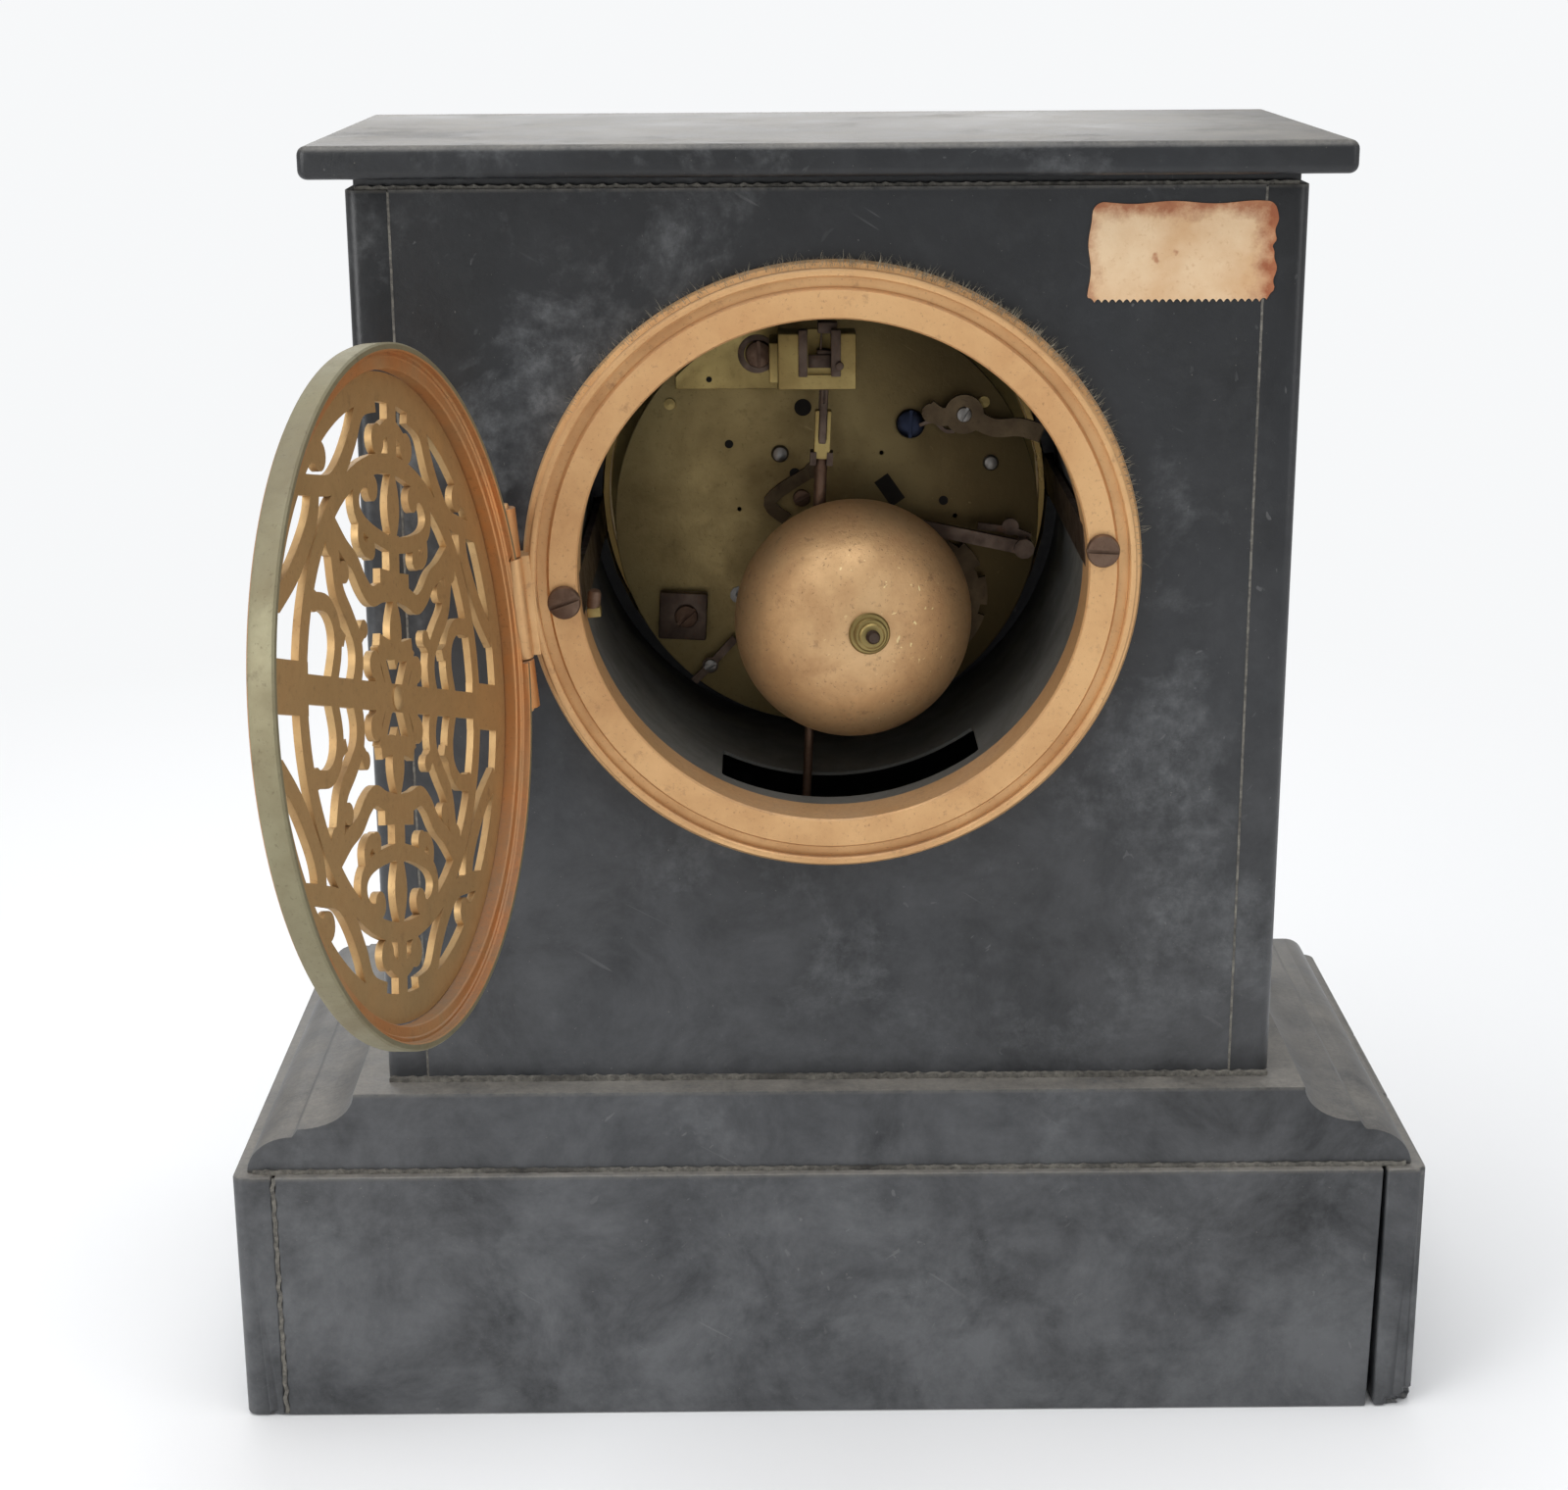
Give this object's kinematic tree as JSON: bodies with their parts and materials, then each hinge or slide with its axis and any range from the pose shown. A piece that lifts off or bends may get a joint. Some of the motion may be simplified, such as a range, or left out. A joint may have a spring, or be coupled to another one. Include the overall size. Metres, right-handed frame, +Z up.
{
  "type": "mantel clock",
  "caption": "Black slate mantel clock with a round striking movement, pendulum, bell, hinged glass bezel and pierced brass back door.",
  "frame": {"origin": "centre of the case's underside, on the shelf", "axes": "+Z up, -Y out of the dial, +Y out of the back door, +X to the right as the dial is read"},
  "size_m": [0.297, 0.2916, 0.316],
  "materials": {
    "slate": "honed, dusty and scratched",
    "label_paper": "aged paper",
    "liner_brass": "dull, oxidised",
    "ring_brass": "aged, dirt in the groove",
    "door_frame_brass": "aged, green and copper patches",
    "door_grille_brass": "aged satin",
    "bezel_brass": "polished, aged",
    "movement_brass": "aged satin",
    "steel": "aged satin",
    "blued_steel": "blued",
    "bob_brass": "satin",
    "bell_metal": "aged, turned",
    "enamel": "glossy",
    "clear_glass": "clear"
  },
  "bodies": {
    "case": {"base_board": "slate", "plinth_back_panel": "slate", "plinth_front_panel": "slate", "plinth_side_left": "slate", "plinth_side_right": "slate", "plinth_moulding": "slate", "body_back_panel": "slate", "body_front_panel": "slate", "body_side_left": "slate", "body_side_right": "slate", "top_slab": "slate", "paper_label": "label_paper", "drum_liner": "liner_brass", "strap_left": "steel", "strap_right": "steel", "rear_ring": "ring_brass", "rear_ring_screw_left": "steel", "rear_ring_screw_right": "steel", "rear_hinge_pin": "ring_brass", "front_bezel": "bezel_brass", "front_hinge_pin": "bezel_brass", "dial_plate": "enamel", "front_plate": "movement_brass", "back_plate": "movement_brass", "pillar_1": "movement_brass", "pillar_2": "movement_brass", "pillar_3": "movement_brass", "pillar_4": "movement_brass", "suspension_cock": "movement_brass", "bell": "bell_metal", "bell_post": "steel", "bell_nut": "bob_brass"},
    "rear_door": {"rear_door_frame": "door_frame_brass", "rear_door_grille": "door_grille_brass"},
    "glass_bezel": {"glass_bezel_frame": "bezel_brass", "dial_glass": "clear_glass"},
    "minute_hand": {"minute_hand": "blued_steel", "cannon_pinion": "steel"},
    "minute_wheel": {"minute_wheel": "movement_brass"},
    "hour_hand": {"hour_hand": "blued_steel", "hour_wheel": "movement_brass"},
    "escape_wheel": {"escape_wheel": "movement_brass"},
    "third_wheel": {"third_wheel": "movement_brass"},
    "centre_wheel": {"centre_wheel": "movement_brass"},
    "intermediate_wheel": {"intermediate_wheel": "movement_brass"},
    "going_barrel": {"going_barrel": "movement_brass", "going_mainspring": "blued_steel"},
    "going_winding_arbor": {"going_winding_arbor": "steel"},
    "strike_barrel": {"strike_barrel": "movement_brass", "strike_mainspring": "blued_steel"},
    "strike_winding_arbor": {"strike_winding_arbor": "steel"},
    "pin_wheel": {"pin_wheel": "movement_brass"},
    "fly": {"fly": "movement_brass"},
    "count_wheel": {"count_wheel": "movement_brass"},
    "hammer": {"hammer": "steel"},
    "pendulum": {"pendulum_rod": "steel", "pendulum_bob": "bob_brass", "rating_nut": "bob_brass", "suspension_spring": "steel"},
    "crutch": {"anchor_and_crutch": "steel"}
  },
  "joints": [
    {"name": "rear_door_hinge", "type": "hinge", "parent": "case", "child": "rear_door", "pos_m": [0.07309, 0.0719, 0.20976], "axis": [-0.0906, 0, -0.9959], "range_deg": [-102.6, 67.4]},
    {"name": "glass_bezel_hinge", "type": "hinge", "parent": "case", "child": "glass_bezel", "pos_m": [0.069, -0.0425, 0.2165], "axis": [0, 0, 1], "range_deg": [0, 110]},
    {"name": "minute_hand_turn", "type": "hinge", "parent": "case", "child": "minute_hand", "pos_m": [-0.001, 0, 0.2165], "axis": [0, 1, 0], "continuous": true},
    {"name": "minute_wheel_turn", "type": "hinge", "parent": "case", "child": "minute_wheel", "pos_m": [0.0055, 0, 0.2064], "axis": [0, 1, 0], "continuous": true},
    {"name": "hour_hand_turn", "type": "hinge", "parent": "case", "child": "hour_hand", "pos_m": [-0.001, 0, 0.2165], "axis": [0, 1, 0], "continuous": true},
    {"name": "escape_wheel_turn", "type": "hinge", "parent": "case", "child": "escape_wheel", "pos_m": [-0.0003, 0, 0.2485], "axis": [0, 1, 0], "continuous": true},
    {"name": "third_wheel_turn", "type": "hinge", "parent": "case", "child": "third_wheel", "pos_m": [-0.015, 0, 0.2335], "axis": [0, 1, 0], "continuous": true},
    {"name": "centre_wheel_turn", "type": "hinge", "parent": "case", "child": "centre_wheel", "pos_m": [-0.001, 0, 0.2165], "axis": [0, 1, 0], "continuous": true},
    {"name": "intermediate_wheel_turn", "type": "hinge", "parent": "case", "child": "intermediate_wheel", "pos_m": [0.0215, 0, 0.2191], "axis": [0, 1, 0], "continuous": true},
    {"name": "going_barrel_turn", "type": "hinge", "parent": "case", "child": "going_barrel", "pos_m": [0.022, 0, 0.1965], "axis": [0, 1, 0], "continuous": true},
    {"name": "going_winding", "type": "hinge", "parent": "case", "child": "going_winding_arbor", "pos_m": [0.022, 0, 0.1965], "axis": [0, 1, 0], "continuous": true},
    {"name": "fly_turn", "type": "hinge", "parent": "case", "child": "fly", "pos_m": [-0.044, 0, 0.2315], "axis": [0, 1, 0], "continuous": true},
    {"name": "pin_wheel_turn", "type": "hinge", "parent": "case", "child": "pin_wheel", "pos_m": [-0.034, 0, 0.217], "axis": [0, 1, 0], "continuous": true},
    {"name": "strike_barrel_turn", "type": "hinge", "parent": "case", "child": "strike_barrel", "pos_m": [-0.024, 0, 0.1965], "axis": [0, 1, 0], "continuous": true},
    {"name": "strike_winding", "type": "hinge", "parent": "case", "child": "strike_winding_arbor", "pos_m": [-0.024, 0, 0.1965], "axis": [0, 1, 0], "continuous": true},
    {"name": "count_wheel_turn", "type": "hinge", "parent": "case", "child": "count_wheel", "pos_m": [-0.024, 0, 0.1965], "axis": [0, 1, 0], "continuous": true},
    {"name": "hammer_lift", "type": "hinge", "parent": "case", "child": "hammer", "pos_m": [-0.051, 0, 0.2105], "axis": [0, 1, 0], "range_deg": [0, 14], "stiffness_Nm_per_rad": 0.01, "springref_deg": -20.05},
    {"name": "pendulum_swing", "type": "hinge", "parent": "case", "child": "pendulum", "pos_m": [-0.0003, 0.027, 0.262], "axis": [0, 1, 0], "range_deg": [-0.4, 5.2]},
    {"name": "crutch_swing", "type": "hinge", "parent": "case", "child": "crutch", "pos_m": [-0.0003, 0, 0.262], "axis": [0, 1, 0], "range_deg": [-0.4, 5.2]}
  ],
  "couplings": [
    {"joint": "minute_wheel_turn", "follows": "minute_hand_turn", "ratio": -0.33333},
    {"joint": "hour_hand_turn", "follows": "minute_hand_turn", "ratio": 0.083333},
    {"joint": "third_wheel_turn", "follows": "escape_wheel_turn", "ratio": -0.083333},
    {"joint": "centre_wheel_turn", "follows": "escape_wheel_turn", "ratio": 0.0069444},
    {"joint": "intermediate_wheel_turn", "follows": "escape_wheel_turn", "ratio": -0.0011574},
    {"joint": "going_barrel_turn", "follows": "escape_wheel_turn", "ratio": 0.00016534},
    {"joint": "pin_wheel_turn", "follows": "fly_turn", "ratio": -0.14286},
    {"joint": "strike_barrel_turn", "follows": "fly_turn", "ratio": 0.020408},
    {"joint": "count_wheel_turn", "follows": "fly_turn", "ratio": 0.015873},
    {"joint": "crutch_swing", "follows": "pendulum_swing", "ratio": 1}
  ]
}
